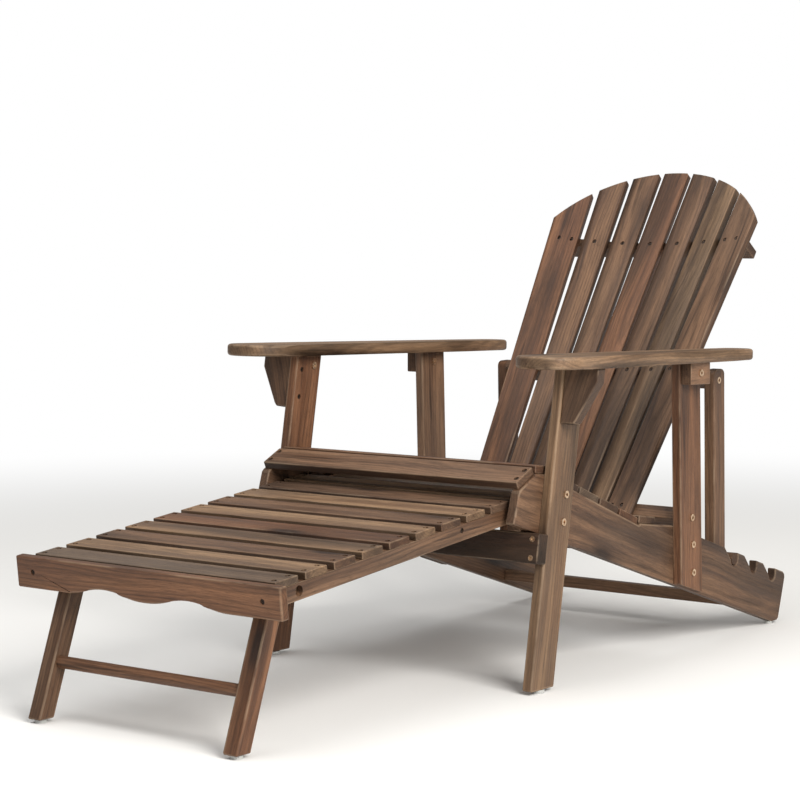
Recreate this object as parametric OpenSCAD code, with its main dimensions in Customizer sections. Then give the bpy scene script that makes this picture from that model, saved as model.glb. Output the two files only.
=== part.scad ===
// Reclining slatted garden armchair with a pull-out footrest, in millimetres.
// X is the sitter's left, -Y is where the feet point, Z is up. Floor at Z = 0.
// A suffix _l is the sitter's left (+X), _r the sitter's right (-X).

/* [Boards] */
// outside width across the two seat rails
seat_w = 564; // [500:1:640]
// thickness of the seat rails
rail_t = 18; // [15:1:26]
// thickness of the front legs and rear posts
leg_t = 18; // [15:1:26]
// thickness of the arm boards
arm_t = 21; // [16:1:30]
// thickness of the seat slats
seat_slat_t = 14; // [10:1:20]
// thickness of the back slats
back_slat_t = 16; // [12:1:20]
// thickness of the clear foot pads under every foot
pad_t = 6; // [3:0.5:10]

/* [Seat rails] */
// height of the lower front corner of the rail above the floor
rail_front_z = 289; // [260:1:320]
// downward slope of the rail toward the rear
rail_slope = 17.8; // [14:0.1:19.5]
// length of the rail along its lower edge
rail_len = 952; // [880:1:1010]
// depth of the rail board, from its lower edge to its teeth
rail_depth = 102; // [95:1:120]
// how far the rail's front end stands ahead of the front leg's foot
rail_nose = 24; // [10:1:40]
// height of the rail's front end above its lower edge
rail_nose_h = 54; // [46:1:58]
// distance along the rail from its front end to the first notch
notch_at = 743; // [720:1:760]
// spacing of the three notches along the rail
notch_pitch = 78; // [66:0.5:82]
// depth of a notch centre below the top of the teeth
notch_drop = 13.5; // [12:0.5:24]
// slant of each notch's front side from upright
notch_ramp = 41; // [20:1:50]

/* [Seat slats] */
// width of the tilted front slat
front_slat_w = 51; // [45:1:58]
// tilt of the front slat against the rail
front_slat_tilt = 43.4; // [38:0.5:48]
// width of the ordinary seat slats
seat_slat_w = 62; // [54:0.5:64]
// gap between the ordinary seat slats
seat_gap = 6.8; // [5:0.2:10]
// tilt of the crest slat against the rail
crest_tilt = 11.8; // [9:0.5:14]
// fall of the sloping seat against the rail
seat_fall = 3.6; // [2:0.2:5]
// width of the last, upturned slat
last_slat_w = 55; // [45:1:60]
// tilt of the last slat against the rail
last_slat_tilt = 9.3; // [6:0.5:12]
// distance of the front slat behind the rail's front end
front_slat_set = 3.5; // [1:0.5:8]
// height of the front slat above the rail's nose
front_slat_up = 5.4; // [3:0.1:8]
// step from the front slat to the crest slat, along the rail
crest_gap = 2.5; // [1:0.1:5]
// step from the front slat to the crest slat, square to the rail
crest_up = 1.2; // [0:0.1:3]
// step from the crest slat to the sloping slats, along the rail
slope_gap = 13.3; // [8:0.1:18]
// step down from the crest slat to the sloping slats
slope_drop = 12.8; // [8:0.1:16]
// step from the sloping slats to the last slat, along the rail
last_gap = 6; // [4:0.5:10]
// step up from the sloping slats to the last slat
last_up = 4.9; // [3:0.1:8]
// how far each seat slat stops short of the rail's outer face
slat_inset = 5; // [1:0.5:12]

/* [Front legs] */
// rearward lean of the front legs
leg_lean = 10.15; // [6:0.1:14]
// width of the front leg board
leg_w = 67.3; // [60:0.5:80]
// height of the arm's underside above the floor, at the front leg's foot line
arm_z = 546; // [520:1:575]
// downward tilt of the arms toward the rear
arm_tilt = 1.65; // [0:0.05:3]

/* [Rear posts] */
// rearward distance from the front leg's foot to the post's front edge, at seat rail height
post_y = 482; // [470:1:500]
// width of the rear post board
post_w = 73; // [56:1:80]
// forward lean of the rear posts
post_lean = 1.9; // [0:0.1:4]

/* [Arms] */
// radius of the rounded front of the arm
arm_front_r = 60; // [50:1:70]
// radius of the rounded rear of the arm
arm_rear_r = 32; // [24:1:40]
// distance of the arm's inner edge inside the leg's inner face
arm_overlap = 24; // [15:1:25]
// rearward position of the centre of the front rounding
arm_front_y = 34; // [20:1:60]
// rearward position of the centre of the rear rounding
arm_rear_y = 706; // [640:1:740]
// how far the rear of the arm turns in toward the middle
arm_toe = 7; // [0:0.5:8]
// outward reach of the front bracket under the arm
bracket_w = 66; // [45:1:70]
// width of the bracket at its foot
bracket_foot_w = 31; // [15:1:35]
// height of the bracket
bracket_h = 86; // [70:1:100]
// height of the bracket's upright outer edge
bracket_lip = 14; // [8:1:25]
// distance of the bracket behind the leg's front edge
bracket_set = 4; // [2:0.5:10]
// thickness of brackets and cleats
block_t = 22; // [14:1:24]
// height of the cleats under the arms
cleat_h = 40; // [30:1:50]
// distance of the rear cleat behind the post's front edge
cleat_set = 3; // [1:0.5:10]

/* [Cross bars] */
// height of the front stretcher board
stretcher_h = 51; // [40:1:60]
// height of the front stretcher's lower edge above the floor
stretcher_z = 216; // [200:1:224]
// thickness of the front stretcher
stretcher_t = 28; // [14:1:32]
// how far the front stretcher runs past the legs
stretcher_over = 3.5; // [0:0.5:6]
// height of the rear bar
rear_bar_h = 22; // [18:1:30]
// thickness of the rear bar
rear_bar_t = 18; // [14:1:24]
// distance of the rear bar along the rail from its front end
rear_bar_at = 790; // [760:1:800]
// height of the rear bar above the rail's lower edge
rear_bar_up = 4; // [0:0.5:14]

/* [Back] */
// lean of the back from upright
back_lean = 35.5; // [33:0.1:36]
// distance of the back's pivot along the rail from its front end
pivot_at = 531; // [520:1:545]
// height of the back's pivot above the rail's teeth line
pivot_up = 23.4; // [21:0.5:30]
// half width of the back at its foot
back_foot_hw = 181.5; // [165:0.5:185]
// half width gained per millimetre of height
back_flare = 0.0811; // [0.06:0.001:0.085]
// height of the back's top above its foot line, along the slats
back_len = 786; // [720:1:820]
// radius of the arched top
top_r = 277; // [260:1:320]
// radius of the hollow across the back
hollow_r = 1000; // [800:10:2000]
// gap between back slats at their foot
back_foot_gap = 6; // [3:0.5:10]
// gap between back slats at the top batten
back_gap = 12.5; // [6:0.5:14]
// width of the outer back slats over the inner ones
outer_slat_ratio = 1.28; // [1.1:0.01:1.4]
// place of the two screws in an outer back slat: offset of their middle toward the chair's middle
outer_screw_off = 0.08; // [0:0.01:0.12]
// and half their spacing, both over the slat's width
outer_screw_half = 0.21; // [0.15:0.01:0.25]
// how far the slats run below the foot line
slat_tail = 6; // [2:1:10]
// thickness of the top and middle cross battens
batten_t = 18; // [14:1:22]
// thickness of the low cross batten
low_batten_t = 25; // [18:1:28]
// depth of the battens at the middle
batten_d = 27; // [22:1:30]
// height of the top batten's centre above the foot line
top_batten_s = 614; // [580:1:630]
// how far the screws of the top batten lie below its centre
top_screw_drop = 4; // [0:0.5:5]
// height of the middle batten's centre above the foot line
mid_batten_s = 313; // [304:1:316]
// half length of the top batten
top_batten_hl = 219; // [200:1:232]

/* [Prop] */
// diameter of the prop rod
rod_d = 23; // [20:0.5:27]
// width of the prop legs
prop_w = 41; // [34:1:46]
// thickness of the prop legs
prop_t = 22; // [14:1:24]
// gap between the prop legs and the seat rails
prop_gap = 14; // [10:0.5:18]
// distance of the prop bolt behind the front face of the back
prop_bolt_n = 23; // [16:0.5:26]
// length of the prop leg beyond its bolt and its rod
prop_end = 21; // [16:1:23]

/* [Footrest] */
// rise of the footrest toward the chair
foot_slope = 6; // [4:0.1:7]
// rearward position of the crest that the footrest rails bear on
bear_y = 34; // [30:1:40]
// height of that crest above the floor
bear_z = 287.6; // [284:0.2:290]
// gap between the footrest and each seat rail
foot_gap = 11; // [5:0.5:20]
// thickness of the footrest rails
foot_rail_t = 24; // [18:1:26]
// height of the footrest rails
foot_rail_h = 27; // [24:1:32]
// thickness of the footrest slats
foot_slat_t = 12; // [9:0.5:14]
// width of the footrest slats
foot_slat_w = 52; // [44:0.5:56]
// spacing of the footrest slats
foot_pitch = 68.4; // [60:0.2:69]
// distance from the bearing crest to the front edge of the first slat
foot_reach = 625.7; // [600:0.1:640]
// distance the rails run behind the bearing crest
foot_tail = 112; // [90:1:120]
// how far the apron runs past each footrest rail
apron_over = 25; // [10:0.5:35]
// height of the apron
apron_h = 51.5; // [42:0.5:60]
// thickness of the apron
apron_t = 16; // [12:1:20]
// depth of each of the two waves in the apron's lower edge
scallop_d = 12; // [8:0.5:16]
// distance of each wave from the middle of the apron
scallop_x = 88; // [86:1:100]
// half width of each wave
scallop_hw = 84; // [60:1:85]

/* [Footrest legs] */
// distance of the leg pivot ahead of the bearing crest
fleg_at = 574.6; // [560:0.1:580]
// forward lean of the footrest legs
fleg_lean = 19.8; // [12:0.1:22]
// width of the footrest leg board
fleg_w = 30.5; // [26:0.5:36]
// thickness of the footrest legs
fleg_t = 28; // [16:1:32]
// thickness of the spacer between leg and rail
spacer_t = 8.5; // [2:0.5:10]
// diameter of the cross bar between the footrest legs
bar_d = 20; // [16:1:24]
// height of the cross bar above the floor
bar_z = 93.5; // [80:0.5:120]

/* [Fasteners] */
// diameter of the bolt shanks
bolt_d = 8; // [6:0.5:9]
// diameter of the brass bolt heads
head_d = 13; // [10:0.5:15]
// height of the brass bolt heads
head_h = 2; // [1:0.5:3]
// diameter of the screw shanks
screw_d = 4; // [3:0.5:5]
// diameter of the screw heads
screw_head_d = 9; // [6:0.5:10]
// distance of the seat slat screws from the inner face of the rail
screw_set = 4.5; // [4:0.5:8]
// depth of the screw heads below the surface
screw_sink = 2; // [0.5:0.1:3]

/* [Fit] */
// radial clearance of a pin in a bore where one turns in the other
run_fit = 0.06; // [0.01:0.01:0.1]
// radial clearance of a fixed fastener in its bore
fast_fit = 0.05; // [0.02:0.01:0.1]
// gap left between a moving board and its neighbour
side_gap = 1; // [0.5:0.1:2]
// radial clearance of the rod in a notch
rod_gap = 0.8; // [0.3:0.1:1.5]

/* [Hidden] */
$fn = 48;
wood = [0.42, 0.30, 0.22];
brass = [0.80, 0.62, 0.35];
steel = [0.16, 0.13, 0.12];
clear = [0.90, 0.90, 0.88];

seat_hw = seat_w / 2;
leg_in = seat_hw;
leg_out = seat_hw + leg_t;
rail_in = seat_hw - rail_t;
prop_out = rail_in - prop_gap;
prop_in = prop_out - prop_t;
lean_t = tan(leg_lean);
arm_in = leg_in - arm_overlap;
arm_front_x = arm_in + arm_front_r;
arm_rear_x = arm_in + arm_rear_r - arm_toe;
screw_head_h = 3;
eps = 0.5;

// a point on the rail: distance along its lower edge, height square to it
function rp(a, h) = [
    -rail_nose + a * cos(rail_slope) + h * sin(rail_slope),
    rail_front_z - a * sin(rail_slope) + h * cos(rail_slope)
];
function step(p, w, t) = [p[0] + w * cos(t), p[1] + w * sin(t)];
// height of the arm's underside above the floor
function arm_under(y) = arm_z - y * tan(arm_tilt);
// front edge of the front leg
function leg_edge(z) = z * lean_t;
// front edge of the rear post
function post_edge(z) = post_y - (z - pivot[1]) * tan(post_lean);

// seat slats: start point on the rail, tilt and width
slope_n = 4;
front_start = [front_slat_set, rail_nose_h + front_slat_up];
front_end = step(front_start, front_slat_w, front_slat_tilt);
crest_start = [front_end[0] + crest_gap, front_end[1] + crest_up];
crest_end = step(crest_start, seat_slat_w, crest_tilt);
slope_start = [crest_end[0] + slope_gap, crest_end[1] - slope_drop];
seat_pitch = seat_slat_w + seat_gap;
slope_end = step(slope_start, seat_pitch * (slope_n - 1) + seat_slat_w, -seat_fall);
last_start = [slope_end[0] + last_gap, slope_end[1] + last_up];
last_end = step(last_start, last_slat_w, last_slat_tilt);
function slat_start(i) = i == 0 ? front_start : i == 1 ? crest_start
    : i == slope_n + 2 ? last_start : step(slope_start, seat_pitch * (i - 2), -seat_fall);
function slat_tilt(i) = i == 0 ? front_slat_tilt : i == 1 ? crest_tilt
    : i == slope_n + 2 ? last_slat_tilt : -seat_fall;
function slat_width(i) = i == 0 ? front_slat_w : i == slope_n + 2 ? last_slat_w : seat_slat_w;

// back: pivot, and the pivot's place in the back's own frame
pivot = rp(pivot_at, rail_depth + pivot_up);
pivot_n = 13;
pivot_s = 12;
shell_r = hollow_r + back_slat_t;
ref_hw = back_hw(top_batten_s);
// width of an inner back slat where the back's half width is hw
function inner_w(hw, gap) = (2 * hw - 6 * gap) / (5 + 2 * outer_slat_ratio);
// one edge of back slat i (0 to 6) there: side 0 is the lower x, side 1 the higher x
function edge_at(i, side, hw, gap) = let (w = inner_w(hw, gap))
    i + side == 0 ? -hw : i + side == 7 ? hw
    : -hw + w * (outer_slat_ratio + i - 1 + side) + gap * i;
// the same edge at height s, on the straight line from the foot to the top batten
function slat_edge(i, side, s) = let (foot = edge_at(i, side, back_foot_hw, back_foot_gap))
    foot + (edge_at(i, side, ref_hw, back_gap) - foot) * s / top_batten_s;
function slat_mid(i, s) = (slat_edge(i, 0, s) + slat_edge(i, 1, s)) / 2;
function back_hw(s) = back_foot_hw + back_flare * s;
function to_world(n, s) = [
    pivot[0] + (n - pivot_n) * cos(back_lean) + (s - pivot_s) * sin(back_lean),
    pivot[1] - (n - pivot_n) * sin(back_lean) + (s - pivot_s) * cos(back_lean)
];
// face of the back's hollow behind x, for a shell of radius r
function hollow(x, r) = sqrt(r * r - x * x) - hollow_r;

// prop
prop_bolt = to_world(prop_bolt_n, mid_batten_s);
rod_r = rod_d / 2;
notch_r = rod_r + rod_gap;
notch_h = rail_depth - notch_drop;
rod_c = rp(notch_at, notch_h);

// footrest
foot_hw = rail_in - foot_gap;
apron_hw = foot_hw + apron_over;
foot_top = foot_rail_h + foot_slat_t;
foot_n = 10;
sunk = 12;
fleg_pivot_up = 1.1;
fleg_pivot_w = foot_rail_h / 2 + fleg_pivot_up;
fleg_pivot = fp(-fleg_at, fleg_pivot_w);
fleg_out = foot_hw - foot_rail_t - spacer_t;
fleg_rear = 11;
// a point on the footrest: distance behind the bearing point, height square to it
function fp(u, w) = [
    bear_y + u * cos(foot_slope) - w * sin(foot_slope),
    bear_z + u * sin(foot_slope) + w * cos(foot_slope)
];
apron_gap = 3;
apron_drop = 1;
apron_u = -foot_reach - apron_gap - apron_t;
apron_w = foot_top - apron_drop - apron_h;

// the whole chair is centred on the floor
y_front = min(fp(apron_u, apron_w + apron_h)[0], fleg_edge(fleg_rear - fleg_w, pad_t)[0]);
y_rear = to_world(back_slat_t, back_len)[0];
y_mid = (y_front + y_rear) / 2;

module place() {
    translate([0, -y_mid, 0]) children();
}
module both() {
    children();
    mirror([1, 0, 0]) children();
}
// a board lying in the YZ plane, from x0 outward
module plate(x0, t, pts) {
    translate([x0, 0, 0]) rotate([90, 0, 90]) linear_extrude(t) polygon(pts);
}
module xrod(x0, x1, p, d) {
    translate([x0, p[0], p[1]]) rotate([0, 90, 0]) cylinder(h = x1 - x0, d = d);
}
// brass bolt along +X from its tip at x0 to its head seat at x1
module bolt(x0, x1, p) {
    difference() {
        union() {
            xrod(x0, x1 + head_h / 2, p, bolt_d);
            xrod(x1, x1 + head_h, p, head_d);
        }
        translate([x1 - 2, p[0], p[1]]) rotate([0, 90, 0]) cylinder(h = head_h + 3, d = 6, $fn = 6);
    }
}
module bolt_bore(x0, x1, p, c) {
    xrod(x0 - eps, x1 + eps, p, bolt_d + 2 * c);
}
// wood screw pointing down -Z from a surface at z = 0
module screw(l) {
    translate([0, 0, -screw_sink - screw_head_h]) difference() {
        union() {
            cylinder(h = screw_head_h, d = screw_head_d);
            translate([0, 0, -l]) cylinder(h = l + 1, d = screw_d);
        }
        translate([0, 0, screw_head_h - 1.2]) cylinder(h = 2, d = 3.2, $fn = 6);
    }
}
module screw_bore(l) {
    translate([0, 0, -screw_sink - screw_head_h]) {
        cylinder(h = screw_sink + screw_head_h + eps, d = screw_head_d + 2 * fast_fit);
        translate([0, 0, -l - eps]) cylinder(h = l + eps + 1, d = screw_d + 2 * fast_fit);
    }
}

// ---- seat rails ----
// how far the rail stands on its foot ahead of its rear end
rail_heel = 14;
function bottom_at_z(z) = (rail_front_z - z) / sin(rail_slope);
foot_cut = bottom_at_z(pad_t);
leg_bolt_share = 0.68;
post_bolt_share = 0.56;
frame_bolts_at = [leg_bolt(328), leg_bolt(282)];
// a front leg bolt at height z, and a post bolt that far below the back's pivot
function leg_bolt(z) = [leg_edge(z) + leg_w * leg_bolt_share, z];
function post_bolt(drop) = let (z = pivot[1] - drop) [post_edge(z) + post_w * post_bolt_share, z];
post_bolts_at = [post_bolt(50), post_bolt(102)];
screw_len = 16;
seat_screw_share = 0.24;
seat_screw_x = rail_in + screw_set;

module notch(k) {
    c = rp(notch_at + k * notch_pitch, notch_h);
    xrod(rail_in - eps, seat_hw + eps, c, 2 * notch_r);
    plate(rail_in - eps, rail_t + 2 * eps, [
        [c[0] - notch_r, c[1]],
        [c[0] + notch_r, c[1]],
        [c[0] + notch_r, c[1] + 60],
        [c[0] - notch_r - 60 * tan(notch_ramp), c[1] + 60]
    ]);
}
module on_slat(i) {
    p = rp(slat_start(i)[0], slat_start(i)[1]);
    translate([0, p[0], p[1]]) rotate([slat_tilt(i) - rail_slope, 0, 0]) children();
}
module slat_screw_spots(i) {
    on_slat(i)
        for (v = [seat_screw_share, 1 - seat_screw_share])
            translate([seat_screw_x, slat_width(i) * v, seat_slat_t]) children();
}
module seat_rail() {
    heel = rail_len - rail_heel;
    difference() {
        plate(rail_in, rail_t, [
            rp(0, 0),
            rp(0, rail_nose_h),
            rp(front_start[0], front_start[1]),
            rp(front_end[0], front_end[1]),
            rp(crest_start[0], crest_start[1]),
            rp(crest_end[0], crest_end[1]),
            rp(slope_start[0], slope_start[1]),
            rp(slope_end[0], slope_end[1]),
            rp(last_start[0], last_start[1]),
            rp(last_end[0], last_end[1]),
            rp(last_end[0] + 50, rail_depth),
            rp(rail_len - 10, rail_depth),
            rp(rail_len - 3, rail_depth - 3),
            rp(rail_len, rail_depth - 10),
            rp(rail_len, 12),
            rp(rail_len - 4, 7),
            [rp(heel, 0)[0], pad_t],
            [rp(foot_cut, 0)[0], pad_t]
        ]);
        for (k = [0 : 2]) notch(k);
        for (p = frame_bolts_at) bolt_bore(rail_in, seat_hw, p, fast_fit);
        for (p = post_bolts_at) bolt_bore(rail_in, seat_hw, p, fast_fit);
        for (i = [0 : slope_n + 2]) slat_screw_spots(i) screw_bore(screw_len);
        pad_pin_rear();
    }
}
module seat_rail_l() color(wood) place() seat_rail();
module seat_rail_r() color(wood) place() mirror([1, 0, 0]) seat_rail();

// ---- seat slats ----
module seat_slat(i) {
    color(wood) place() difference() {
        on_slat(i) translate([-seat_hw + slat_inset, 0, 0])
            cube([2 * (seat_hw - slat_inset), slat_width(i), seat_slat_t]);
        both() slat_screw_spots(i) screw_bore(screw_len);
    }
}

// ---- front legs ----
module front_leg() {
    edge_w = leg_w / cos(leg_lean);
    top_f = (arm_z) / (1 + lean_t * tan(arm_tilt));
    top_r = (arm_z - edge_w * tan(arm_tilt)) / (1 + lean_t * tan(arm_tilt));
    difference() {
        plate(leg_in, leg_t, [
            [leg_edge(pad_t), pad_t],
            [leg_edge(pad_t) + edge_w, pad_t],
            [leg_edge(top_r) + edge_w, top_r],
            [leg_edge(top_f), top_f]
        ]);
        for (p = frame_bolts_at) bolt_bore(leg_in, leg_out, p, fast_fit);
        bolt_bore(leg_in, leg_out, front_cleat_bolt, fast_fit);
        bracket_screw_spots() screw_bore(bracket_screw_l);
        stretcher_screw_spots() bar_screw_bore();
        pad_pin_front();
    }
}
module front_leg_l() color(wood) place() front_leg();
module front_leg_r() color(wood) place() mirror([1, 0, 0]) front_leg();

// ---- rear posts ----
module rear_post() {
    y_top = post_edge(arm_under(post_y));
    yb = post_edge(140);
    difference() {
        plate(leg_in, leg_t, [
            [yb, rail_bottom(yb)],
            [y_top, arm_under(y_top)],
            [y_top + post_w, arm_under(y_top + post_w)],
            [yb + post_w, rail_bottom(yb + post_w)]
        ]);
        for (p = post_bolts_at) bolt_bore(leg_in, leg_out, p, fast_fit);
        bolt_bore(leg_in, leg_out, pivot, fast_fit);
        bolt_bore(leg_in, leg_out, rear_cleat_bolt, fast_fit);
    }
}
function rail_bottom(y) = rail_front_z - (y + rail_nose) * tan(rail_slope);
module rear_post_l() color(wood) place() rear_post();
module rear_post_r() color(wood) place() mirror([1, 0, 0]) rear_post();

// ---- arms ----
module on_arm() {
    translate([0, 0, arm_z]) rotate([-arm_tilt, 0, 0]) children();
}
module arm() {
    on_arm() linear_extrude(arm_t) hull() {
        translate([arm_front_x, arm_front_y]) circle(r = arm_front_r, $fn = 120);
        translate([arm_rear_x, arm_rear_y]) circle(r = arm_rear_r, $fn = 96);
    }
}
module arm_l() color(wood) place() arm();
module arm_r() color(wood) place() mirror([1, 0, 0]) arm();

// ---- brackets and cleats under the arms ----
// bracket frame: origin on the leg's outer face at the arm's underside, Z along the leg
bracket_y = leg_edge(arm_z) + bracket_set / cos(leg_lean);
bracket_drop = (bracket_y + block_t) * tan(arm_tilt);
bracket_top = (arm_z - bracket_drop) - 0.35 * block_t;
module on_bracket() {
    translate([leg_out, leg_edge(bracket_top) + bracket_set / cos(leg_lean), bracket_top])
        rotate([-leg_lean, 0, 0]) children();
}
bracket_screw_l = leg_t + 10;
module bracket_screw_spots() {
    on_bracket()
        for (z = [-16, -66]) translate([-leg_t, block_t / 2, z]) rotate([0, -90, 0]) children();
}
module arm_bracket() {
    difference() {
        intersection() {
            on_bracket() translate([0, block_t, 0]) rotate([90, 0, 0])
                linear_extrude(block_t) polygon([
                [0, 30],
                [bracket_w, 30],
                [bracket_w, -bracket_lip],
                [bracket_foot_w, -bracket_h + 6],
                [bracket_foot_w - 5, -bracket_h],
                [0, -bracket_h]
            ]);
            on_arm() translate([0, -200, -300]) cube([600, 600, 300]);
        }
        bracket_screw_spots() screw_bore(bracket_screw_l);
    }
}
module arm_bracket_l() color(wood) place() arm_bracket();
module arm_bracket_r() color(wood) place() mirror([1, 0, 0]) arm_bracket();

cleat_bolt_drop = 19;
front_cleat_y = leg_edge(arm_z) + 30;
front_cleat_l = 36;
front_cleat_bolt_y = front_cleat_y + 14;
front_cleat_bolt = [front_cleat_bolt_y, arm_under(front_cleat_bolt_y) - cleat_bolt_drop];
rear_cleat_y = post_edge(arm_under(post_y) - cleat_h) + cleat_set;
rear_cleat_l = post_w - cleat_set - 2;
rear_cleat_mid = rear_cleat_y + rear_cleat_l / 2;
rear_cleat_bolt = [rear_cleat_mid, arm_under(rear_cleat_mid) - cleat_bolt_drop];
module cleat(y, l, p) {
    difference() {
        plate(leg_out, block_t, [
            [y, arm_under(y) - cleat_h],
            [y, arm_under(y)],
            [y + l, arm_under(y + l)],
            [y + l, arm_under(y + l) - cleat_h]
        ]);
        bolt_bore(leg_out, leg_out + block_t, p, fast_fit);
    }
}
module arm_front_cleats() color(wood) place() both() cleat(front_cleat_y, front_cleat_l, front_cleat_bolt);
module arm_rear_cleats() color(wood) place() both() cleat(rear_cleat_y, rear_cleat_l, rear_cleat_bolt);

// ---- cross bars ----
module on_stretcher() {
    translate([0, leg_edge(stretcher_z), stretcher_z]) rotate([-leg_lean, 0, 0]) children();
}
module stretcher_screw_spots() {
    on_stretcher() for (share = [0.18, 0.80])
        translate([leg_in + leg_t / 2 - 1, -stretcher_t, stretcher_h * share]) rotate([90, 0, 0]) children();
}
stretcher_hl = leg_out + stretcher_over;
// brass screws of the front stretcher, flush with its face
bar_screw_l = stretcher_t + 22;
module bar_screw() {
    difference() {
        union() {
            translate([0, 0, -1.5]) cylinder(h = 1.5, d = 10);
            translate([0, 0, -bar_screw_l]) cylinder(h = bar_screw_l - 1, d = 5);
        }
        translate([0, 0, -1.2]) cylinder(h = 2, d = 5, $fn = 6);
    }
}
module bar_screw_bore() {
    translate([0, 0, -1.5]) cylinder(h = 2, d = 10 + 2 * fast_fit);
    translate([0, 0, -bar_screw_l - eps]) cylinder(h = bar_screw_l, d = 5 + 2 * fast_fit);
}
module front_stretcher() {
    color(wood) place() difference() {
        on_stretcher() translate([-stretcher_hl, -stretcher_t, 0]) cube([2 * stretcher_hl, stretcher_t, stretcher_h]);
        both() stretcher_screw_spots() bar_screw_bore();
    }
}
module rear_stretcher() {
    p = rp(rear_bar_at, 0);
    color(wood) place()
        translate([-rail_in, p[0], p[1] + rear_bar_up]) cube([2 * rail_in, rear_bar_t, rear_bar_h]);
}

// ---- rests that carry the footrest rails ----
// the rest stands on the front stretcher; its crest is the bearing point
rest_gap = 0.3;
function rest_top(y) = bear_z - (y - bear_y) * tan(rail_slope) - rest_gap;
rest_in = foot_hw - 15;
rest_out = rail_in;
module footrest_rest() {
    a = [leg_edge(stretcher_z) + stretcher_h * sin(leg_lean), stretcher_z + stretcher_h * cos(leg_lean)];
    b = [a[0] - stretcher_t * cos(leg_lean), a[1] + stretcher_t * sin(leg_lean)];
    plate(rest_in, rest_out - rest_in, [
        [b[0], bear_z - (bear_y - b[0]) * tan(foot_slope) - rest_gap],
        [bear_y, bear_z - rest_gap],
        [a[0] + 16, rest_top(a[0] + 16)],
        [a[0] + 16, a[1] - 6],
        a,
        b
    ]);
}
module footrest_rest_l() color(wood) place() footrest_rest();
module footrest_rest_r() color(wood) place() mirror([1, 0, 0]) footrest_rest();

// ---- foot pads ----
pad_r = 11;
rear_pad_r = 7;
pin_d = 4;
pin_l = 10;
module pad(x, y, r) {
    translate([x, y, 0]) {
        cylinder(h = pad_t, r = r);
        cylinder(h = pad_t + pin_l, d = pin_d);
    }
}
module pad_pin(x, y) {
    translate([x, y, pad_t - eps]) cylinder(h = pin_l + 2 * eps, d = pin_d + 2 * fast_fit);
}
rear_pad_y = (rp(foot_cut, 0)[0] + rp(rail_len - rail_heel, 0)[0]) / 2 - 2;
front_pad_y = leg_edge(pad_t) + leg_w / 2;
module pad_pin_front() pad_pin(leg_in + leg_t / 2, front_pad_y);
module pad_pin_rear() pad_pin(rail_in + rail_t / 2, rear_pad_y);
module chair_foot_pads() {
    color(clear) place() both() {
        pad(leg_in + leg_t / 2, front_pad_y, pad_r);
        pad(rail_in + rail_t / 2, rear_pad_y, rear_pad_r);
    }
}

// ---- frame fasteners ----
module through_bolt(x0, x1, p) {
    bolt(x0, x1, p);
    difference() {
        xrod(x0 - head_h, x0, p, head_d);
        translate([x0 - head_h - 1, p[0], p[1]]) rotate([0, 90, 0]) cylinder(h = 2, d = 6, $fn = 6);
    }
}
module frame_bolts() {
    color(brass) place() both() {
        for (p = concat(frame_bolts_at, post_bolts_at)) bolt(rail_in + 3, leg_out, p);
        bolt(pivot_tip, leg_out, pivot);
        through_bolt(leg_in, leg_out + block_t, front_cleat_bolt);
        through_bolt(leg_in, leg_out + block_t, rear_cleat_bolt);
        stretcher_screw_spots() bar_screw();
    }
}
module frame_screws() {
    color(steel) place() both() {
        for (i = [0 : slope_n + 2]) slat_screw_spots(i) screw(screw_len);
        bracket_screw_spots() screw(bracket_screw_l);
    }
}

// ---- back ----
low_batten_hl = leg_in - side_gap;
mid_batten_hl = prop_in - side_gap;
pivot_tip = low_batten_hl - 30;
batten_rear = back_slat_t + batten_d;
back_screw_l = back_slat_t + 14;
module on_back() {
    translate([0, pivot[0], pivot[1]]) rotate([-back_lean, 0, 0])
        translate([0, -pivot_n, -pivot_s]) children();
}
module back_slat(i) {
    mid = slat_mid(i, top_batten_s);
    top = back_len + 20;
    color(wood) place() on_back() difference() {
        intersection() {
            translate([0, -hollow_r, -slat_tail]) difference() {
                cylinder(h = top, r = shell_r, $fn = 180);
                translate([0, 0, -1]) cylinder(h = top + 2, r = hollow_r, $fn = 180);
            }
            // the sides stand square to the hollow
            translate([mid, hollow(mid, hollow_r), 0]) rotate([0, 0, -asin(mid / hollow_r)])
                translate([-mid, 60, 0]) rotate([90, 0, 0]) linear_extrude(120) polygon([
                    [slat_edge(i, 0, -slat_tail), -slat_tail],
                    [slat_edge(i, 1, -slat_tail), -slat_tail],
                    [slat_edge(i, 1, top), top],
                    [slat_edge(i, 0, top), top]
                ]);
            union() {
                translate([0, 60, back_len - top_r]) rotate([90, 0, 0])
                    cylinder(h = 160, r = top_r, $fn = 120);
                translate([-300, -100, -slat_tail - 1]) cube([600, 160, back_len - top_r + 40]);
            }
        }
        slat_spots(i) screw_bore(back_screw_l);
    }
}
// the screws of back slat i, pointing into the battens
module slat_spots(i) {
    side = i == 0 ? 1 : i == 6 ? -1 : 0;
    for (s = [pivot_s, mid_batten_s, top_batten_s - top_screw_drop], k = side == 0 ? [0] : [-1, 1])
        let (w = slat_edge(i, 1, s) - slat_edge(i, 0, s),
             x = slat_mid(i, s) + (side * outer_screw_off + k * outer_screw_half) * w)
            translate([x, hollow(x, hollow_r), s]) rotate([90, 0, 0]) children();
}
module all_back_spots() {
    for (i = [0 : 6]) slat_spots(i) children();
}
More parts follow.
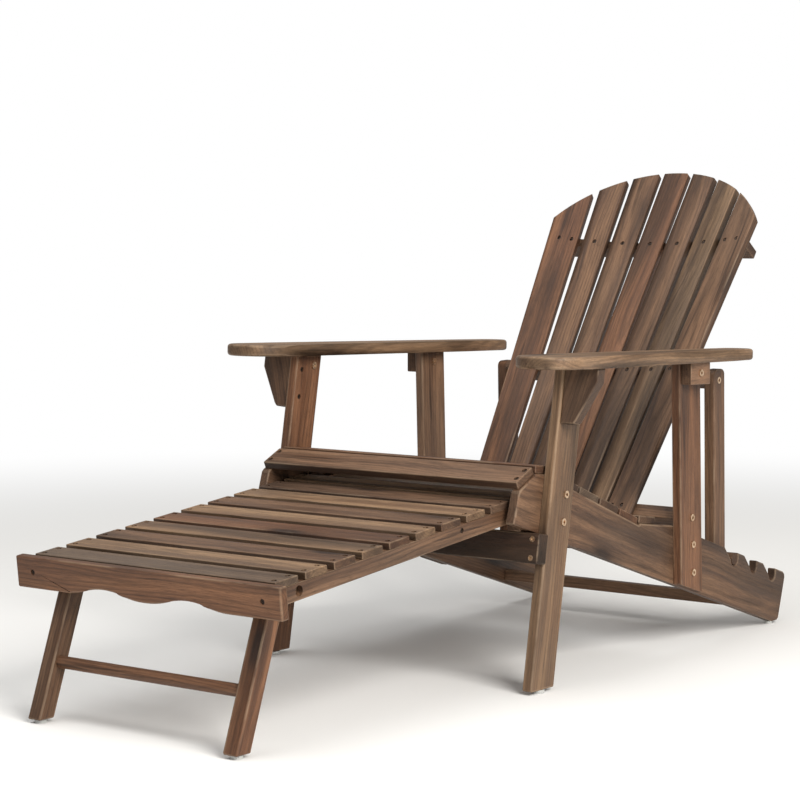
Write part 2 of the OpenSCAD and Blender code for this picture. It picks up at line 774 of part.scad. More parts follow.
// a batten is hollowed to the slats and straight beyond them
module batten(s, hl, t) {
    n0 = hollow(min(hl, back_hw(s)), shell_r);
    difference() {
        translate([-hl, n0, s - t / 2]) cube([2 * hl, batten_rear - n0, t]);
        translate([0, -hollow_r, s - t]) cylinder(h = 2 * t, r = shell_r, $fn = 180);
        all_back_spots() screw_bore(back_screw_l);
    }
}
module back_top_batten() {
    color(wood) place() on_back() batten(top_batten_s, top_batten_hl, batten_t);
}
module back_mid_batten() {
    color(wood) place() difference() {
        on_back() batten(mid_batten_s, mid_batten_hl, batten_t);
        both() bolt_bore(mid_batten_hl - 32, mid_batten_hl, prop_bolt, fast_fit);
    }
}
module back_low_batten() {
    color(wood) place() difference() {
        on_back() batten(pivot_s, low_batten_hl, low_batten_t);
        both() bolt_bore(pivot_tip - 2, low_batten_hl, pivot, run_fit);
    }
}
module back_screws() {
    color(steel) place() on_back() all_back_spots() screw(back_screw_l);
}

// ---- prop ----
prop_run = [rod_c[0] - prop_bolt[0], rod_c[1] - prop_bolt[1]];
prop_len = norm(prop_run);
prop_turn = atan2(prop_run[0], -prop_run[1]);
module on_prop() {
    translate([0, prop_bolt[0], prop_bolt[1]]) rotate([prop_turn, 0, 0]) children();
}
module prop_leg() {
    r = 11;
    hw = prop_w / 2 - r;
    difference() {
        on_prop() translate([prop_in, 0, 0]) rotate([90, 0, 90]) linear_extrude(prop_t) union() {
            for (y = [-hw, hw], z = [prop_end - r, -prop_len - prop_end + r]) translate([y, z]) circle(r = r);
            translate([-hw - r, -prop_len - prop_end + r]) square([prop_w, prop_len + 2 * prop_end - 2 * r]);
            translate([-hw, -prop_len - prop_end]) square([2 * hw, prop_len + 2 * prop_end]);
        }
        bolt_bore(prop_in, prop_out, prop_bolt, run_fit);
        xrod(prop_in - eps, prop_out + eps, rod_c, rod_d + 2 * fast_fit);
        xrod(prop_out - head_h, prop_out + eps, prop_bolt, head_d + 2 * run_fit + 0.4);
    }
}
module prop_leg_l() color(wood) place() prop_leg();
module prop_leg_r() color(wood) place() mirror([1, 0, 0]) prop_leg();
module prop_rod() color(wood) place() xrod(-seat_hw, seat_hw, rod_c, rod_d);
module prop_bolts() {
    color(brass) place() both() bolt(mid_batten_hl - 30, prop_out - head_h, prop_bolt);
}

// ---- footrest ----
module on_foot() {
    translate([0, bear_y, bear_z]) rotate([foot_slope, 0, 0]) children();
}
function foot_u(i) = -foot_reach + i * foot_pitch;
foot_screw_x = foot_hw - foot_rail_t / 2;
foot_screw_l = foot_slat_t + 12;
module foot_spots(i) {
    on_foot() for (v = [0.2, 0.8])
        translate([foot_screw_x, foot_u(i) + foot_slat_w * v, foot_top]) children();
}
module all_foot_spots() {
    for (i = [0 : foot_n - 1]) foot_spots(i) children();
}
module apron_spots() {
    on_foot() translate([foot_screw_x, apron_u, foot_rail_h / 2]) rotate([90, 0, 0]) children();
}
apron_screw_l = apron_t + 16;
side_screw_at = 162;
module side_spot() {
    on_foot() translate([foot_hw, -side_screw_at, foot_rail_h / 2 + 4]) rotate([0, 90, 0]) children();
}
module foot_rail() {
    difference() {
        on_foot() translate([foot_hw - foot_rail_t, apron_u + apron_t, 0])
            cube([foot_rail_t, foot_tail - apron_u - apron_t, foot_rail_h]);
        all_foot_spots() screw_bore(foot_screw_l);
        apron_spots() screw_bore(apron_screw_l);
        side_spot() screw_bore(14);
        bolt_bore(foot_hw - foot_rail_t, foot_hw, fleg_pivot, fast_fit);
        xrod(foot_hw - sunk, foot_hw + eps, fleg_pivot, head_d + 4);
    }
}
module footrest_rail_l() color(wood) place() foot_rail();
module footrest_rail_r() color(wood) place() mirror([1, 0, 0]) foot_rail();
module footrest_slat(i) {
    color(wood) place() difference() {
        on_foot() translate([-foot_hw, foot_u(i), foot_rail_h]) cube([2 * foot_hw, foot_slat_w, foot_slat_t]);
        both() foot_spots(i) screw_bore(foot_screw_l);
    }
}
// the wave is made of equal arcs: a hollow one in the middle, a rounded one at each side
wave_r = (scallop_hw * scallop_hw / 4 + scallop_d * scallop_d / 4) / scallop_d;
module wave_arc(x, z) {
    translate([x, -eps, z]) rotate([-90, 0, 0]) cylinder(h = apron_t + 2 * eps, r = wave_r, $fn = 180);
}
module wave_block(hw, h) {
    translate([-hw, -eps, -eps]) cube([2 * hw, apron_t + 2 * eps, h + eps]);
}
module wave() {
    intersection() {
        wave_arc(0, scallop_d - wave_r);
        wave_block(scallop_hw / 2, scallop_d + eps);
    }
    difference() {
        wave_block(scallop_hw, scallop_d / 2);
        for (x = [-scallop_hw, scallop_hw]) wave_arc(x, wave_r);
    }
}
module footrest_apron() {
    color(wood) place() difference() {
        on_foot() translate([0, apron_u, apron_w]) difference() {
            translate([-apron_hw, 0, 0]) cube([2 * apron_hw, apron_t, apron_h]);
            for (x = [-scallop_x, scallop_x]) translate([x, 0, 0]) wave();
        }
        both() apron_spots() screw_bore(apron_screw_l);
    }
}
module footrest_screws() {
    color(steel) place() both() {
        all_foot_spots() screw(foot_screw_l);
        apron_spots() screw(apron_screw_l);
        side_spot() screw(14);
    }
}
module footrest_leg_bolts() {
    color(brass) place() both() {
        bolt(fleg_out - fleg_t + 2, foot_hw - sunk, fleg_pivot);
        difference() {
            xrod(fleg_out, fleg_out + spacer_t, fleg_pivot, 20);
            xrod(fleg_out - 1, fleg_out + spacer_t + 1, fleg_pivot, bolt_d - 1);
        }
    }
}

// ---- footrest legs ----
fleg_in = fleg_out - fleg_t;
fleg_top = fleg_pivot[1] + fleg_rear - 1;
// a point of the leg: distance behind its pivot, distance up along it
function fleg_pt(y, z) = [
    fleg_pivot[0] + y * cos(fleg_lean) + z * sin(fleg_lean),
    fleg_pivot[1] - y * sin(fleg_lean) + z * cos(fleg_lean)
];
// point of a leg edge at height h, for an edge y behind the pivot
function fleg_edge(y, h) = let (z = (h - fleg_pivot[1] + y * sin(fleg_lean)) / cos(fleg_lean)) fleg_pt(y, z);
bar_c = fleg_edge(fleg_rear - fleg_w / 2, bar_z);
bar_spigot_d = bar_d - 6;
fpad = fleg_edge(fleg_rear - fleg_w / 2, pad_t);
fpad_x = fleg_out - fleg_t / 2;
module footrest_leg() {
    difference() {
        union() {
            plate(fleg_in, fleg_t, [
                fleg_edge(fleg_rear, pad_t),
                fleg_edge(fleg_rear, fleg_pivot[1] - fleg_rear * sin(fleg_lean)),
                [fleg_pivot[0], fleg_top],
                [fleg_edge(fleg_rear - fleg_w, fleg_top)[0], fleg_top],
                fleg_edge(fleg_rear - fleg_w, pad_t)
            ]);
            xrod(fleg_in, fleg_out, fleg_pivot, 2 * fleg_rear);
        }
        bolt_bore(fleg_in, fleg_out, fleg_pivot, run_fit);
        xrod(fleg_in - eps, fleg_in + 12, bar_c, bar_spigot_d + 2 * fast_fit);
        pad_pin(fpad_x, fpad[0]);
    }
}
module footrest_leg_l() color(wood) place() footrest_leg();
module footrest_leg_r() color(wood) place() mirror([1, 0, 0]) footrest_leg();
module footrest_leg_bar() {
    color(wood) place() {
        xrod(-fleg_in, fleg_in, bar_c, bar_d);
        both() xrod(fleg_in - 1, fleg_in + 11, bar_c, bar_spigot_d);
    }
}
module footrest_leg_pads() color(clear) place() both() pad(fpad_x, fpad[0], pad_r - 1);

seat_rail_l();
seat_rail_r();
front_leg_l();
front_leg_r();
rear_post_l();
rear_post_r();
arm_l();
arm_r();
arm_bracket_l();
arm_bracket_r();
arm_front_cleats();
arm_rear_cleats();
front_stretcher();
rear_stretcher();
footrest_rest_l();
footrest_rest_r();
seat_slat(0);  // seat_slat_1
seat_slat(1);  // seat_slat_2
seat_slat(2);  // seat_slat_3
seat_slat(3);  // seat_slat_4
seat_slat(4);  // seat_slat_5
seat_slat(5);  // seat_slat_6
seat_slat(6);  // seat_slat_7
chair_foot_pads();
frame_bolts();
frame_screws();
back_slat(0);  // back_slat_1
back_slat(1);  // back_slat_2
back_slat(2);  // back_slat_3
back_slat(3);  // back_slat_4
back_slat(4);  // back_slat_5
back_slat(5);  // back_slat_6
back_slat(6);  // back_slat_7
back_top_batten();
back_mid_batten();
back_low_batten();
back_screws();
prop_leg_l();
prop_leg_r();
prop_rod();
prop_bolts();
footrest_rail_l();
footrest_rail_r();
footrest_apron();
footrest_slat(0);  // footrest_slat_1
footrest_slat(1);  // footrest_slat_2
footrest_slat(2);  // footrest_slat_3
footrest_slat(3);  // footrest_slat_4
footrest_slat(4);  // footrest_slat_5
footrest_slat(5);  // footrest_slat_6
footrest_slat(6);  // footrest_slat_7
footrest_slat(7);  // footrest_slat_8
footrest_slat(8);  // footrest_slat_9
footrest_slat(9);  // footrest_slat_10
footrest_screws();
footrest_leg_bolts();
footrest_leg_l();
footrest_leg_r();
footrest_leg_bar();
footrest_leg_pads();
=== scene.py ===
"""Looks of a slatted garden armchair with a footrest: weathered wood, brass, screws and pads.

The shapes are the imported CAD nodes. This script rounds their edges with modifiers, gives every
board its own grain, and adds the floor, the lights and the camera. Sizes are in metres.
"""

import math
import random
import zlib

import bmesh
import bpy
import numpy as np
from mathutils import Matrix, Vector, kdtree

# ---- edge rounding of the boards ----
WELD_GAP = 1e-5  # corners nearer than this are one corner
FLAT_ANGLE = math.radians(1.0)  # faces that turn less than this are one face
SHARP_ANGLE = math.radians(30.0)  # an edge that turns more than this gets rounded
RIM_SPAN = 0.03  # an edge loop smaller than this is the rim of a hole and stays crisp
EDGE_SEGMENTS = 3

# board family: (rounding radius, one tone letter per board in node order)
FAMILIES = {
    "arm_bracket": (0.0025, "uu"),
    "arm_front_cleats": (0.002, "u"),
    "arm_rear_cleats": (0.002, "u"),
    "arm": (0.0055, "tt"),
    "seat_rail": (0.003, "uu"),
    "front_leg": (0.003, "tr"),
    "rear_post": (0.003, "ru"),
    # painted shade: the front stretcher takes the very dark tone d, standing in for the shade under
    # the seat
    "front_stretcher": (0.003, "d"),
    "rear_stretcher": (0.002, "u"),
    "footrest_rest": (0.0015, "uu"),
    "seat_slat": (0.0025, "uruguru"),
    "back_slat": (0.0025, "ruurutu"),
    "back_top_batten": (0.002, "u"),
    "back_mid_batten": (0.002, "u"),
    "back_low_batten": (0.002, "u"),
    "prop_leg": (0.0025, "ur"),
    "prop_rod": (0.0, "u"),
    "footrest_rail": (0.0025, "uu"),
    "footrest_apron": (0.003, "r"),
    "footrest_slat": (0.002, "gtutrtutut"),
    "footrest_leg": (0.003, "ru"),
    "footrest_leg_bar": (0.0, "r"),
}
SLAT_SIDE_SHADE = 0.62  # painted shade: the narrow sides of a slat are darker than its broad faces, standing in for the shade in the gaps between slats
EDGE_WEAR = 0.38  # how far the rounded edges are sanded back to pale wood
BRASS_NODES = ("frame_bolts", "prop_bolts", "footrest_leg_bolts")
STEEL_NODES = ("frame_screws", "back_screws", "footrest_screws")
PAD_NODES = ("chair_foot_pads", "footrest_leg_pads")

# tone letter: (light streak, body, dark streak, share of grey weathering)
TONES = {
    "r": ((0.205, 0.096, 0.048), (0.108, 0.046, 0.022), (0.022, 0.009, 0.004), 0.10),
    "u": ((0.185, 0.102, 0.057), (0.094, 0.047, 0.025), (0.019, 0.009, 0.005), 0.20),
    "g": ((0.190, 0.128, 0.082), (0.106, 0.066, 0.041), (0.023, 0.013, 0.008), 0.40),
    "t": ((0.300, 0.184, 0.102), (0.155, 0.086, 0.046), (0.030, 0.016, 0.008), 0.25),
    # d: painted shade, a very dark tone that stands in for the shade under the seat on the front
    # stretcher
    "d": ((0.070, 0.037, 0.021), (0.038, 0.019, 0.011), (0.011, 0.006, 0.003), 0.10),
}
GREY_WOOD = (0.120, 0.088, 0.064)
WORN_WOOD = (0.300, 0.212, 0.138)
KNOT_WOOD = (0.016, 0.008, 0.005)

# ---- metal and pad colours, lit and dull ----
BRASS = ((0.80, 0.60, 0.42), (0.45, 0.30, 0.18))
STEEL = ((0.100, 0.075, 0.060), (0.040, 0.030, 0.025))
MILKY = ((0.80, 0.81, 0.79), (0.66, 0.67, 0.64))

# ---- floor and light ----
WHITE = (1.0, 1.0, 1.0)
FLOOR_HALF = 30.0
FLOOR_FADE = (1.5, 4.0)  # the floor turns from pale to pure white between these distances
FLOOR_COLOUR = (0.82, 0.82, 0.81)
FILL_COLOUR = (1.0, 0.985, 0.96)
FILL_STRENGTH = 0.46
# name, place, target, size, watts, colour
SOFTBOXES = (
    ("key", (3.7, -1.5, 2.7), (0.0, 0.0, 0.3), 2.4, 260.0, (1.0, 0.97, 0.93)),
    ("top", (-0.6, -0.8, 3.6), (0.0, 0.0, 0.2), 3.0, 60.0, WHITE),
)

# ---- camera, from the photograph's viewing angle ----
CAM_PLACE = Vector((2.4746, -3.3389, 0.7941))
CAM_YAW = math.radians(37.61)
CAM_PITCH = math.radians(-4.452)
CAM_ROLL = math.radians(0.135)
CAM_LENS = 105.44
SENSOR = 36.0


# ---------------------------------------------------------------- node helpers
class Graph:
    """Adds shader nodes to a tree. An input may be a number, a tuple or another node's socket."""

    def __init__(self, tree):
        self.tree = tree

    def add(self, kind, inputs=(), **settings):
        node = self.tree.nodes.new(kind)
        for key, value in settings.items():
            setattr(node, key, value)
        for key, value in dict(inputs).items():
            self.feed(node.inputs[key], value)
        return node

    def feed(self, socket, value):
        if isinstance(value, bpy.types.NodeSocket):
            self.tree.links.new(value, socket)
        elif socket.type == "RGBA" and len(value) == 3:
            socket.default_value = (*value, 1.0)
        else:
            socket.default_value = value

    def math(self, operation, a, b=0.0, clamp=False):
        node = self.add("ShaderNodeMath", {0: a, 1: b}, operation=operation)
        node.use_clamp = clamp
        return node.outputs[0]

    def dot(self, vector, axis):
        node = self.add("ShaderNodeVectorMath", {0: vector, 1: axis}, operation="DOT_PRODUCT")
        return node.outputs["Value"]

    def shifted(self, vector, shift):
        return self.add("ShaderNodeVectorMath", {0: vector, 1: shift}, operation="ADD").outputs[0]

    def stretch(self, vector, factors):
        node = self.add("ShaderNodeVectorMath", {0: vector, 1: factors}, operation="MULTIPLY")
        return node.outputs[0]

    def noise(self, vector, factors, detail=2.0, roughness=0.5):
        node = self.add(
            "ShaderNodeTexNoise",
            {
                "Vector": self.stretch(vector, factors),
                "Scale": 1.0,
                "Detail": detail,
                "Roughness": roughness,
            },
        )
        return node.outputs["Fac"]

    def remap(self, value, low, high, out_low=0.0, out_high=1.0):
        node = self.add(
            "ShaderNodeMapRange",
            {
                "Value": value,
                "From Min": low,
                "From Max": high,
                "To Min": out_low,
                "To Max": out_high,
            },
            interpolation_type="SMOOTHSTEP",
        )
        return node.outputs["Result"]

    def mix(self, share, a, b, blend="MIX"):
        node = self.add("ShaderNodeMix", data_type="RGBA", blend_type=blend)
        self.feed(node.inputs["Factor"], share)
        colours = [s for s in node.inputs if s.type == "RGBA"]
        self.feed(colours[0], a)
        self.feed(colours[1], b)
        return [s for s in node.outputs if s.type == "RGBA"][0]


def new_material(name):
    material = bpy.data.materials.new(name)
    material.use_nodes = True
    material.node_tree.nodes.clear()
    return material, Graph(material.node_tree)


def finish_material(graph, shader):
    graph.add("ShaderNodeOutputMaterial", {"Surface": shader.outputs[0]})


# ---------------------------------------------------------------- wood
def wood_group():
    """The grain of one board. Vector is in metres: x along the board, y across it, z through it."""
    tree = bpy.data.node_groups.new("wood_grain", "ShaderNodeTree")
    sockets = (
        ("Vector", "NodeSocketVector"),
        ("Light", "NodeSocketColor"),
        ("Body", "NodeSocketColor"),
        ("Dark", "NodeSocketColor"),
        ("Grey", "NodeSocketFloat"),
        ("Wear", "NodeSocketFloat"),
        ("End", "NodeSocketFloat"),
        ("Side", "NodeSocketFloat"),
    )
    for name, kind in sockets:
        tree.interface.new_socket(name, in_out="INPUT", socket_type=kind)
    results = (
        ("Color", "NodeSocketColor"),
        ("Roughness", "NodeSocketFloat"),
        ("Height", "NodeSocketFloat"),
    )
    for name, kind in results:
        tree.interface.new_socket(name, in_out="OUTPUT", socket_type=kind)
    g = Graph(tree)
    given = g.add("NodeGroupInput").outputs
    place = given["Vector"]

    # the grain wanders a few millimetres across the board
    wander = g.add(
        "ShaderNodeTexNoise",
        {
            "Vector": g.stretch(place, (2.6, 7.0, 7.0)),
            "Scale": 1.0,
            "Detail": 1.5,
            "Roughness": 0.5,
        },
    ).outputs["Color"]
    shift = g.stretch(g.shifted(wander, (-0.5, -0.5, -0.5)), (0.0, 0.030, 0.030))
    bent = g.shifted(place, shift)

    # growth rings round a heart that drifts along the board
    across = g.stretch(bent, (0.0, 1.0, 1.0))
    radius = g.add("ShaderNodeVectorMath", {0: across}, operation="LENGTH").outputs["Value"]
    drift = g.noise(place, (1.7, 0.0, 0.0), 1.0)
    phase = g.math("ADD", g.math("MULTIPLY", radius, 1150.0), g.math("MULTIPLY", drift, 26.0))
    rings = g.remap(g.math("SINE", phase), -0.2, 1.0)

    streaks = g.noise(bent, (1.9, 42.0, 42.0), 4.0, 0.55)
    bands = g.noise(bent, (1.1, 13.0, 13.0), 2.0)
    patches = g.noise(place, (2.3, 6.0, 6.0), 3.0, 0.6)
    minerals = g.noise(bent, (3.2, 85.0, 85.0), 3.0, 0.6)
    fibres = g.noise(bent, (26.0, 760.0, 760.0), 3.0, 0.65)
    pores = g.noise(bent, (70.0, 1500.0, 1500.0), 1.0)

    knot_cell = g.add(
        "ShaderNodeTexVoronoi",
        {"Vector": g.stretch(place, (3.4, 10.5, 10.5)), "Scale": 1.0, "Randomness": 1.0},
    ).outputs["Distance"]
    knots = g.remap(knot_cell, 0.05, 0.17, 1.0, 0.0)
    halo = g.remap(knot_cell, 0.12, 0.34, 1.0, 0.0)

    colour = g.mix(g.remap(streaks, 0.34, 0.66), given["Body"], given["Light"])
    colour = g.mix(g.remap(bands, 0.48, 0.68, 0.0, 0.68), colour, given["Dark"])
    colour = g.mix(g.math("MULTIPLY", rings, 0.30), colour, given["Dark"])
    grey = g.math("MULTIPLY", g.remap(patches, 0.38, 0.66), given["Grey"])
    colour = g.mix(grey, colour, GREY_WOOD)
    colour = g.mix(g.remap(minerals, 0.58, 0.74, 0.0, 0.72), colour, given["Dark"])
    colour = g.mix(g.math("MULTIPLY", halo, 0.38), colour, given["Dark"])
    colour = g.mix(g.math("MULTIPLY", knots, 0.85), colour, KNOT_WOOD)
    shade = g.remap(fibres, 0.30, 0.72, 0.74, 1.20)
    shade_colour = g.add("ShaderNodeCombineColor", {0: shade, 1: shade, 2: shade}).outputs[0]
    colour = g.mix(1.0, colour, shade_colour, "MULTIPLY")
    colour = g.mix(g.remap(pores, 0.62, 0.72, 0.0, 0.45), colour, given["Dark"])

    # edges are sanded back to paler wood in places, and end grain soaks up more stain
    rubbed = g.remap(g.noise(place, (9.0, 40.0, 40.0), 3.0, 0.6), 0.38, 0.62)
    bare = g.math("MULTIPLY", given["Wear"], rubbed)
    colour = g.mix(bare, colour, WORN_WOOD)
    ends = g.remap(given["End"], 0.72, 0.96)
    colour = g.mix(g.math("MULTIPLY", ends, 0.50), colour, given["Dark"])
    # painted shade: the sides across a board are darkened towards its dark streak colour, standing
    # in for the shade in the gaps between slats
    colour = g.mix(given["Side"], colour, given["Dark"])

    rough = g.math("ADD", g.remap(streaks, 0.3, 0.7, 0.40, 0.56), g.math("MULTIPLY", fibres, 0.12))
    rough = g.math("ADD", rough, g.math("MULTIPLY", ends, 0.20), clamp=True)
    height = g.math("SUBTRACT", g.math("MULTIPLY", fibres, 0.8), g.math("MULTIPLY", rings, 0.25))
    height = g.math("SUBTRACT", height, g.remap(pores, 0.60, 0.74, 0.0, 0.7))
    g.add("NodeGroupOutput", {"Color": colour, "Roughness": rough, "Height": height})
    return tree


def board_axes(node_name, obj):
    """A board's middle and its axes (along, across, through), from how its surface is spread."""
    mesh = obj.data
    mesh.calc_loop_triangles()
    corners = np.array([v.co for v in mesh.vertices])
    triangles = corners[[t.vertices[:] for t in mesh.loop_triangles]]
    normals = np.cross(triangles[:, 1] - triangles[:, 0], triangles[:, 2] - triangles[:, 0])
    areas = np.linalg.norm(normals, axis=1) / 2
    centres = triangles.mean(axis=1)
    middle = (centres * areas[:, None]).sum(0) / areas.sum()
    if node_name.endswith("cleats"):  # two blocks far apart, with their grain set front to back
        return Vector(middle), Matrix(((0, 1, 0), (0, 0, 1), (1, 0, 0)))
    spread = triangles - middle
    sums = spread.sum(axis=1)
    moments = np.einsum("n,nij,nik->jk", areas, spread, spread)
    moments = moments + np.einsum("n,nj,nk->jk", areas, sums, sums)
    _, axes = np.linalg.eigh(moments)
    along, through = axes[:, 2], axes[:, 0]
    along = along * (1 if along[np.abs(along).argmax()] > 0 else -1)
    return Vector(middle), Matrix((along, np.cross(through, along), through))


def wood_material(name, grain, tone, middle, axes, wear, side_shade):
    """One board's wood: its own piece of the grain, in its own tone."""
    material, g = new_material(name)
    luck = random.Random(zlib.crc32(name.split("-")[0].encode()))
    offset = Vector(
        (luck.uniform(0.0, 60.0), luck.uniform(-0.035, 0.035), luck.uniform(0.010, 0.045))
    )
    light, body, dark, grey = TONES[tone]
    gain = luck.uniform(0.90, 1.12)
    light, body = ([c * gain for c in colour] for colour in (light, body))
    coords = g.add("ShaderNodeTexCoord").outputs
    turned = []
    for axis, start in zip(axes, offset):
        along = g.dot(coords["Object"], tuple(axis))
        turned.append(g.math("ADD", along, start - Vector(axis).dot(middle)))
    place = g.add("ShaderNodeCombineXYZ", dict(enumerate(turned))).outputs[0]
    facing, sideways = (
        g.math("ABSOLUTE", g.dot(coords["Normal"], tuple(axis))) for axis in (axes[0], axes[1])
    )
    board = g.add("ShaderNodeGroup", node_tree=grain)
    values = {
        "Vector": place,
        "Light": light,
        "Body": body,
        "Dark": dark,
        "Grey": grey,
        "Wear": wear,
        "End": facing,
        "Side": g.remap(sideways, 0.75, 0.95, 0.0, side_shade),
    }
    for key, value in values.items():
        g.feed(board.inputs[key], value)
    bump = g.add(
        "ShaderNodeBump", {"Strength": 0.45, "Distance": 0.0006, "Height": board.outputs["Height"]}
    )
    shader = g.add(
        "ShaderNodeBsdfPrincipled",
        {
            "Base Color": board.outputs["Color"],
            "Roughness": board.outputs["Roughness"],
            "Specular IOR Level": 0.30,
            "Normal": bump.outputs[0],
        },
    )
    finish_material(g, shader)
    return material


# ---------------------------------------------------------------- other materials
def metal_material(name, colours, roughness, grime_size):
    """Metal with dull blotches and fine scratches."""
    bright, dull = colours
    material, g = new_material(name)
    place = g.add("ShaderNodeTexCoord").outputs["Object"]
    blotches = g.noise(place, (grime_size,) * 3, 4.0, 0.6)
    scratches = g.noise(place, (900.0, 900.0, 2600.0), 2.0)
    colour = g.mix(g.remap(blotches, 0.35, 0.65), bright, dull)
    rough = g.remap(scratches, 0.3, 0.7, roughness - 0.08, roughness + 0.14)
    bump = g.add("ShaderNodeBump", {"Strength": 0.25, "Distance": 0.0002, "Height": scratches})
    shader = g.add(
        "ShaderNodeBsdfPrincipled",
        {"Base Color": colour, "Metallic": 1.0, "Roughness": rough, "Normal": bump.outputs[0]},
    )
    finish_material(g, shader)
    return material


def pad_material():
    """Milky, half clear plastic."""
    material, g = new_material("milky_pad")
    place = g.add("ShaderNodeTexCoord").outputs["Object"]
    cloud = g.noise(place, (60.0, 60.0, 90.0), 3.0)
    colour = g.mix(g.remap(cloud, 0.3, 0.7), *MILKY)
    bump = g.add("ShaderNodeBump", {"Strength": 0.15, "Distance": 0.0003, "Height": cloud})
    shader = g.add(
        "ShaderNodeBsdfPrincipled",
        {
            "Base Color": colour,
            "Roughness": g.remap(cloud, 0.3, 0.7, 0.22, 0.42),
            "Transmission Weight": 0.45,
            "IOR": 1.46,
            "Normal": bump.outputs[0],
        },
    )
    finish_material(g, shader)
    return material


# ---------------------------------------------------------------- rounded edges
def sharp_edges(mesh):
    """The ends of every sharp edge, as two lists: the outline, and the rims of the holes."""
    work = bmesh.new()
    work.from_mesh(mesh)
    bmesh.ops.remove_doubles(work, verts=work.verts, dist=WELD_GAP)
    bmesh.ops.dissolve_limit(work, angle_limit=FLAT_ANGLE, verts=work.verts, edges=work.edges)
    touching = {}
    sharp = [e for e in work.edges if len(e.link_faces) == 2 and e.calc_face_angle() > SHARP_ANGLE]
    for edge in sharp:
        for vert in edge.verts:
            touching.setdefault(vert, []).append(edge)
    outline, rims, seen = [], [], set()
    for first in sharp:
        if first in seen:
            continue
        seen.add(first)
        loop, queue = [], [first]
        while queue:
            edge = queue.pop()
            loop.append(edge)
            for other in (e for vert in edge.verts for e in touching[vert]):
                if other not in seen:
                    seen.add(other)
                    queue.append(other)
        ends = np.array([vert.co for edge in loop for vert in edge.verts])
        group = outline if np.linalg.norm(ends.max(0) - ends.min(0)) > RIM_SPAN else rims
        group.extend(tuple(vert.co.copy() for vert in edge.verts) for edge in loop)
    work.free()
    return outline, rims


def mark_edges(mesh, edges, name, kind):
    """Sets an edge attribute: one on the mesh edges that lie on the given edges, else zero."""
    corners = kdtree.KDTree(2 * len(edges))
    for number, edge in enumerate(edges):
        corners.insert(edge[0], 2 * number)
        corners.insert(edge[1], 2 * number + 1)
    corners.balance()
    near = [{i // 2 for _, i, _ in corners.find_range(v.co, 2 * WELD_GAP)} for v in mesh.vertices]
    hits = [bool(near[e.vertices[0]] & near[e.vertices[1]]) for e in mesh.edges]
    layer = mesh.attributes.get(name) or mesh.attributes.new(name, kind, "EDGE")
    layer.data.foreach_set("value", hits)


def round_edges(obj, radius):
    """Welds and cleans the mesh, then rounds its outline, which takes the second material."""
    weld = obj.modifiers.new("weld", "WELD")
    weld.merge_threshold = WELD_GAP
    flat = obj.modifiers.new("flat", "DECIMATE")
    flat.decimate_type = "DISSOLVE"
    flat.angle_limit = FLAT_ANGLE
    outline, rims = sharp_edges(obj.data)
    stale = obj.data.attributes.get("custom_normal")
    if stale:
        obj.data.attributes.remove(stale)
    for polygon in obj.data.polygons:
        polygon.use_smooth = True
    mark_edges(obj.data, rims if radius else outline + rims, "sharp_edge", "BOOLEAN")
    if radius:
        mark_edges(obj.data, outline, "bevel_weight_edge", "FLOAT")
        bevel = obj.modifiers.new("bevel", "BEVEL")
        bevel.limit_method = "WEIGHT"
        bevel.width = radius
        bevel.segments = EDGE_SEGMENTS
        bevel.use_clamp_overlap = False
        bevel.material = 1
    smooth = obj.modifiers.new("smooth", "WEIGHTED_NORMAL")
    smooth.keep_sharp = True


def family_of(node_name):
    """The longest family name that the node's name starts with, and which board of it this is."""
    family = max((f for f in FAMILIES if node_name.startswith(f)), key=len)
    suffix = node_name[len(family):].strip("_")
    number = {"": 0, "l": 0, "r": 1}.get(suffix)
    return family, int(suffix) - 1 if number is None else number


def dress(node_name, obj, grain, shared):
    """Gives a CAD node its materials. A board's are its faces' and its rounded edges' own."""
    obj.data.materials.clear()
    if node_name in shared:
        obj.data.materials.append(shared[node_name])
        return
    family, number = family_of(node_name)
    radius, tones = FAMILIES[family]
    middle, axes = board_axes(node_name, obj)
    # painted shade on the narrow sides, given to slats only
    side_shade = SLAT_SIDE_SHADE if family.endswith("_slat") else 0.0
    for part, wear in (("face", 0.0), ("edge", EDGE_WEAR)):
        name = f"{node_name}-{part}"
        material = wood_material(name, grain, tones[number], middle, axes, wear, side_shade)
        obj.data.materials.append(material)
    round_edges(obj, radius)


# ---------------------------------------------------------------- stage
def make_floor():
    """A pale floor that fades into the white surroundings away from the chair."""
    half = FLOOR_HALF
    corners = [(-half, -half, 0), (half, -half, 0), (half, half, 0), (-half, half, 0)]
    mesh = bpy.data.meshes.new("floor")
    mesh.from_pydata(corners, [], [(0, 1, 2, 3)])
    floor = bpy.data.objects.new("floor", mesh)
    bpy.context.scene.collection.objects.link(floor)
    material, g = new_material("floor")
    place = g.add("ShaderNodeTexCoord").outputs["Object"]
    reach = g.add("ShaderNodeVectorMath", {0: place}, operation="LENGTH").outputs["Value"]
    pale = g.add("ShaderNodeBsdfDiffuse", {"Color": FLOOR_COLOUR})
    white = g.add("ShaderNodeEmission", {"Color": WHITE, "Strength": 1.0})
    fade = g.remap(reach, *FLOOR_FADE)
    both = g.add("ShaderNodeMixShader", {0: fade, 1: pale.outputs[0], 2: white.outputs[0]})
    finish_material(g, both)
    mesh.materials.append(material)


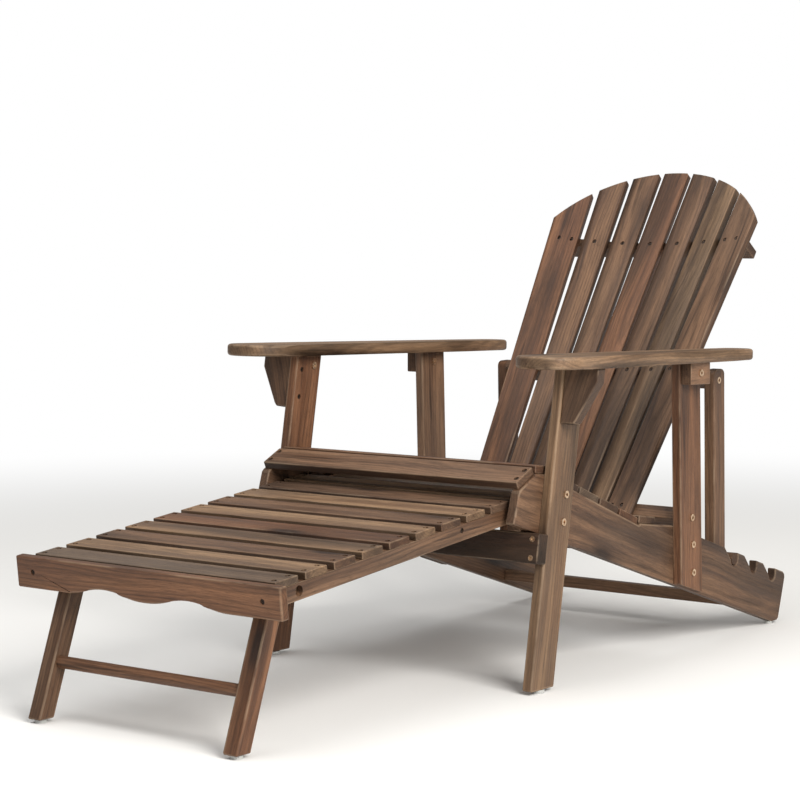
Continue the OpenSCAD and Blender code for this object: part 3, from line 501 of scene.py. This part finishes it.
def make_world():
    """White to the camera, and a soft warm fill to the chair."""
    world = bpy.data.worlds.new("studio")
    world.use_nodes = True
    world.node_tree.nodes.clear()
    g = Graph(world.node_tree)
    seen = g.add("ShaderNodeBackground", {"Color": WHITE, "Strength": 1.0})
    fill = g.add("ShaderNodeBackground", {"Color": FILL_COLOUR, "Strength": FILL_STRENGTH})
    ray = g.add("ShaderNodeLightPath").outputs["Is Camera Ray"]
    both = g.add("ShaderNodeMixShader", {0: ray, 1: fill.outputs[0], 2: seen.outputs[0]})
    g.add("ShaderNodeOutputWorld", {"Surface": both.outputs[0]})
    bpy.context.scene.world = world


def make_softbox(name, place, target, size, watts, colour):
    """A square area light at a place, turned to a target."""
    light = bpy.data.lights.new(name, "AREA")
    light.shape = "SQUARE"
    light.size = size
    light.energy = watts
    light.color = colour
    lamp = bpy.data.objects.new(name, light)
    lamp.location = place
    lamp.rotation_euler = (Vector(target) - Vector(place)).to_track_quat("-Z", "Y").to_euler()
    bpy.context.scene.collection.objects.link(lamp)


def make_camera():
    data = bpy.data.cameras.new("camera")
    data.lens = CAM_LENS
    data.sensor_width = SENSOR
    camera = bpy.data.objects.new("camera", data)
    camera.location = CAM_PLACE
    camera.rotation_euler = (math.pi / 2 + CAM_PITCH, CAM_ROLL, CAM_YAW)
    bpy.context.scene.collection.objects.link(camera)
    bpy.context.scene.camera = camera


# ---------------------------------------------------------------- the scene
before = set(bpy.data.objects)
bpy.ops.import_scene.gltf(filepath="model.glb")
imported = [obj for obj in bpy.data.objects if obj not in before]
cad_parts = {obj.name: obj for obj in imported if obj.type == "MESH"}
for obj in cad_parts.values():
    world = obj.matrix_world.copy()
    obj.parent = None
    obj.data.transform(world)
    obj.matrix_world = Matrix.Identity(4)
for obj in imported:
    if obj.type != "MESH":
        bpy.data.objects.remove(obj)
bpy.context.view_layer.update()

brass = metal_material("dull_brass", BRASS, roughness=0.32, grime_size=240.0)
steel = metal_material("dark_steel", STEEL, roughness=0.50, grime_size=400.0)
milky = pad_material()
shared = {}
for nodes, material in ((BRASS_NODES, brass), (STEEL_NODES, steel), (PAD_NODES, milky)):
    shared.update(dict.fromkeys(nodes, material))
grain = wood_group()
for node_name, node_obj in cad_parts.items():
    dress(node_name, node_obj, grain, shared)

make_floor()
make_world()
for softbox in SOFTBOXES:
    make_softbox(*softbox)
make_camera()
bpy.context.scene.view_settings.view_transform = "Standard"
